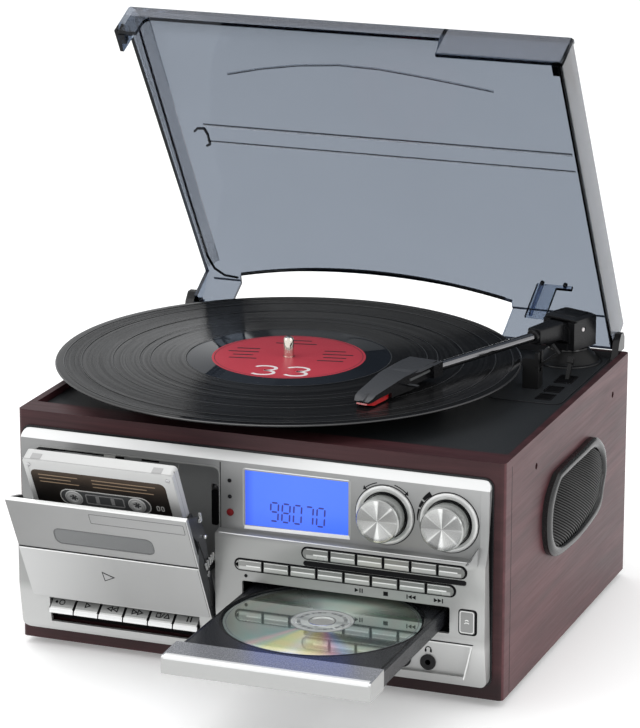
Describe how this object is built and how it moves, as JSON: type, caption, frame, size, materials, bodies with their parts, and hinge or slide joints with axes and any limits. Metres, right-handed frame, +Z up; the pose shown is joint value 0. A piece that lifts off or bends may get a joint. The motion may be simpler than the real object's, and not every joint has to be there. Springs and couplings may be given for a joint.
{
  "type": "stereo music centre",
  "caption": "Wooden-cased tabletop music centre with record player, cassette deck, disc tray, blue display, knobs and push buttons under a clear hinged cover.",
  "frame": {"origin": "centre of the cabinet's flat underside; the four feet reach 5 mm below it", "axes": "+X to the right seen from the front, +Y from the front panel to the back, +Z up"},
  "size_m": [0.349, 0.427, 0.3861],
  "materials": {
    "veneer": "dark reddish veneer, satin",
    "silver_plastic": "silver paint, satin",
    "chrome": "polished",
    "black_plastic": "fine grain",
    "dark_plastic": "moulded",
    "smoky_clear": "clear smoked, polished",
    "vinyl": "grooved",
    "disc": "mirror bright",
    "aluminium": "spun",
    "steel": "plain",
    "brass": "turned",
    "rubber": "matt",
    "board": "solder resist",
    "display": "lit blue",
    "red_plastic": "clear red",
    "cone": "paper cone",
    "hardboard": "painted board",
    "tape_shell": "white"
  },
  "bodies": {
    "main": {"cabinet": "veneer", "feet": "rubber", "rear_panel": "hardboard", "deck_plate": "black_plastic", "front_panel": "silver_plastic", "display_module": "display", "knob_rings": "chrome", "circuit_boards": "board", "speaker_grilles": "black_plastic", "speaker_drivers": "cone", "turntable_motor": "steel", "drive_belt": "rubber", "spindle": "steel", "hinge_brackets": "black_plastic", "arm_base": "black_plastic", "cassette_mechanism": "silver_plastic", "disc_mechanism": "dark_plastic", "sockets": "black_plastic", "screws": "steel"},
    "lid": {"dust_cover": "smoky_clear"},
    "turntable": {"platter": "black_plastic", "record": "vinyl"},
    "pulley": {"motor_pulley": "brass"},
    "arm_carrier": {"arm_yoke": "black_plastic"},
    "tonearm": {"arm_tube": "aluminium", "headshell": "black_plastic", "stylus": "red_plastic"},
    "cue": {"cue_lever": "black_plastic"},
    "clip": {"arm_clip": "black_plastic"},
    "autostop": {"autostop_switch": "black_plastic"},
    "speed": {"speed_switch": "black_plastic"},
    "door": {"cassette_door": "silver_plastic"},
    "tape": {"cassette": "tape_shell"},
    "pinion": {"damper_pinion": "dark_plastic"},
    "tray": {"disc_tray": "dark_plastic", "tray_front": "silver_plastic", "compact_disc": "disc"},
    "tuning": {"tuning_knob": "aluminium"},
    "volume": {"volume_knob": "aluminium"},
    "eject": {"eject_button": "silver_plastic"},
    "record_key": {"key_record": "silver_plastic"},
    "play_key": {"key_play": "silver_plastic"},
    "rewind_key": {"key_rewind": "silver_plastic"},
    "forward_key": {"key_forward": "silver_plastic"},
    "stop_key": {"key_stop": "silver_plastic"},
    "pause_key": {"key_pause": "silver_plastic"},
    "function_1": {"function_button_1": "silver_plastic"},
    "function_2": {"function_button_2": "silver_plastic"},
    "function_3": {"function_button_3": "silver_plastic"},
    "function_4": {"function_button_4": "silver_plastic"},
    "function_5": {"function_button_5": "silver_plastic"},
    "function_6": {"function_button_6": "silver_plastic"},
    "transport_1": {"transport_button_1": "silver_plastic"},
    "transport_2": {"transport_button_2": "silver_plastic"},
    "transport_3": {"transport_button_3": "silver_plastic"},
    "transport_4": {"transport_button_4": "silver_plastic"},
    "transport_5": {"transport_button_5": "silver_plastic"},
    "transport_6": {"transport_button_6": "silver_plastic"},
    "transport_7": {"transport_button_7": "silver_plastic"},
    "transport_8": {"transport_button_8": "silver_plastic"}
  },
  "joints": [
    {"name": "lid_hinge", "type": "hinge", "parent": "main", "child": "lid", "pos_m": [0.001, 0.1315, 0.157], "axis": [1, 0, 0], "range_deg": [0, 59]},
    {"name": "platter_spin", "type": "hinge", "parent": "main", "child": "turntable", "pos_m": [-0.03, 0.0005, 0.155], "axis": [0, 0, -1], "continuous": true},
    {"name": "pulley_spin", "type": "hinge", "parent": "main", "child": "pulley", "pos_m": [-0.09223, 0.06273, 0.152], "axis": [0, 0, -1], "continuous": true},
    {"name": "arm_swing", "type": "hinge", "parent": "main", "child": "arm_carrier", "pos_m": [0.125, 0.111, 0.16], "axis": [0, 0, -1], "range_deg": [-18, 21]},
    {"name": "arm_lift", "type": "hinge", "parent": "arm_carrier", "child": "tonearm", "pos_m": [0.125, 0.111, 0.171], "axis": [-0.9304, 0.3665, 0], "range_deg": [0, 1.25]},
    {"name": "cue_lever_turn", "type": "hinge", "parent": "main", "child": "cue", "pos_m": [0.1377, 0.066, 0.1434], "axis": [1, 0, 0], "range_deg": [0, 40]},
    {"name": "arm_clip_turn", "type": "hinge", "parent": "main", "child": "clip", "pos_m": [0.1259, 0.043, 0.1615], "axis": [0, -1, 0], "range_deg": [0, 52]},
    {"name": "autostop_slide", "type": "slide", "parent": "main", "child": "autostop", "axis": [0, 1, 0], "range_m": [0, 0.007]},
    {"name": "speed_slide", "type": "slide", "parent": "main", "child": "speed", "axis": [0, 1, 0], "range_m": [0, 0.0075]},
    {"name": "door_hinge", "type": "hinge", "parent": "main", "child": "door", "pos_m": [-0.0855, -0.138, 0.034], "axis": [-1, 0, 0], "range_deg": [0, 27]},
    {"name": "cassette_slide", "type": "slide", "parent": "door", "child": "tape", "axis": [0, 0.454, -0.891], "range_m": [0, 0.02585]},
    {"name": "damper_turn", "type": "hinge", "parent": "main", "child": "pinion", "pos_m": [-0.027, -0.1221, 0.06972], "axis": [-1, 0, 0], "range_deg": [-184, 0]},
    {"name": "record_key_press", "type": "hinge", "parent": "main", "child": "record_key", "pos_m": [-0.12805, -0.107, 0.0265], "axis": [1, 0, 0], "range_deg": [0, 7], "stiffness_Nm_per_rad": 0.06, "springref_deg": -5.73},
    {"name": "play_key_press", "type": "hinge", "parent": "main", "child": "play_key", "pos_m": [-0.11103, -0.107, 0.0265], "axis": [1, 0, 0], "range_deg": [0, 7], "stiffness_Nm_per_rad": 0.06, "springref_deg": -5.73},
    {"name": "rewind_key_press", "type": "hinge", "parent": "main", "child": "rewind_key", "pos_m": [-0.09401, -0.107, 0.0265], "axis": [1, 0, 0], "range_deg": [0, 7], "stiffness_Nm_per_rad": 0.06, "springref_deg": -5.73},
    {"name": "forward_key_press", "type": "hinge", "parent": "main", "child": "forward_key", "pos_m": [-0.07699, -0.107, 0.0265], "axis": [1, 0, 0], "range_deg": [0, 7], "stiffness_Nm_per_rad": 0.06, "springref_deg": -5.73},
    {"name": "stop_key_press", "type": "hinge", "parent": "main", "child": "stop_key", "pos_m": [-0.05997, -0.107, 0.0265], "axis": [1, 0, 0], "range_deg": [0, 7], "stiffness_Nm_per_rad": 0.06, "springref_deg": -5.73},
    {"name": "pause_key_press", "type": "hinge", "parent": "main", "child": "pause_key", "pos_m": [-0.04295, -0.107, 0.0265], "axis": [1, 0, 0], "range_deg": [0, 7], "stiffness_Nm_per_rad": 0.06, "springref_deg": -5.73},
    {"name": "tray_slide", "type": "slide", "parent": "main", "child": "tray", "axis": [0, 1, 0], "range_m": [0, 0.131]},
    {"name": "tuning_turn", "type": "hinge", "parent": "main", "child": "tuning", "pos_m": [0.0864, -0.143, 0.1122], "axis": [0, 1, 0], "continuous": true},
    {"name": "volume_turn", "type": "hinge", "parent": "main", "child": "volume", "pos_m": [0.1274, -0.143, 0.1122], "axis": [0, 1, 0], "range_deg": [-150, 150]},
    {"name": "eject_press", "type": "slide", "parent": "main", "child": "eject", "axis": [0, 1, 0], "range_m": [0, 0.0008], "stiffness_N_per_m": 300, "springref_m": -0.001},
    {"name": "function_press_1", "type": "slide", "parent": "main", "child": "function_1", "axis": [0, 1, 0], "range_m": [0, 0.0008], "stiffness_N_per_m": 300, "springref_m": -0.001},
    {"name": "function_press_2", "type": "slide", "parent": "main", "child": "function_2", "axis": [0, 1, 0], "range_m": [0, 0.0008], "stiffness_N_per_m": 300, "springref_m": -0.001},
    {"name": "function_press_3", "type": "slide", "parent": "main", "child": "function_3", "axis": [0, 1, 0], "range_m": [0, 0.0008], "stiffness_N_per_m": 300, "springref_m": -0.001},
    {"name": "function_press_4", "type": "slide", "parent": "main", "child": "function_4", "axis": [0, 1, 0], "range_m": [0, 0.0008], "stiffness_N_per_m": 300, "springref_m": -0.001},
    {"name": "function_press_5", "type": "slide", "parent": "main", "child": "function_5", "axis": [0, 1, 0], "range_m": [0, 0.0008], "stiffness_N_per_m": 300, "springref_m": -0.001},
    {"name": "function_press_6", "type": "slide", "parent": "main", "child": "function_6", "axis": [0, 1, 0], "range_m": [0, 0.0008], "stiffness_N_per_m": 300, "springref_m": -0.001},
    {"name": "transport_press_1", "type": "slide", "parent": "main", "child": "transport_1", "axis": [0, 1, 0], "range_m": [0, 0.0008], "stiffness_N_per_m": 300, "springref_m": -0.001},
    {"name": "transport_press_2", "type": "slide", "parent": "main", "child": "transport_2", "axis": [0, 1, 0], "range_m": [0, 0.0008], "stiffness_N_per_m": 300, "springref_m": -0.001},
    {"name": "transport_press_3", "type": "slide", "parent": "main", "child": "transport_3", "axis": [0, 1, 0], "range_m": [0, 0.0008], "stiffness_N_per_m": 300, "springref_m": -0.001},
    {"name": "transport_press_4", "type": "slide", "parent": "main", "child": "transport_4", "axis": [0, 1, 0], "range_m": [0, 0.0008], "stiffness_N_per_m": 300, "springref_m": -0.001},
    {"name": "transport_press_5", "type": "slide", "parent": "main", "child": "transport_5", "axis": [0, 1, 0], "range_m": [0, 0.0008], "stiffness_N_per_m": 300, "springref_m": -0.001},
    {"name": "transport_press_6", "type": "slide", "parent": "main", "child": "transport_6", "axis": [0, 1, 0], "range_m": [0, 0.0008], "stiffness_N_per_m": 300, "springref_m": -0.001},
    {"name": "transport_press_7", "type": "slide", "parent": "main", "child": "transport_7", "axis": [0, 1, 0], "range_m": [0, 0.0008], "stiffness_N_per_m": 300, "springref_m": -0.001},
    {"name": "transport_press_8", "type": "slide", "parent": "main", "child": "transport_8", "axis": [0, 1, 0], "range_m": [0, 0.0008], "stiffness_N_per_m": 300, "springref_m": -0.001}
  ],
  "couplings": [
    {"joint": "pulley_spin", "follows": "platter_spin", "ratio": 23.319},
    {"joint": "cue_lever_turn", "follows": "arm_lift", "ratio": 32},
    {"joint": "cassette_slide", "follows": "door_hinge", "m_per_rad": 0.054749},
    {"joint": "damper_turn", "follows": "door_hinge", "ratio": -6.8}
  ]
}
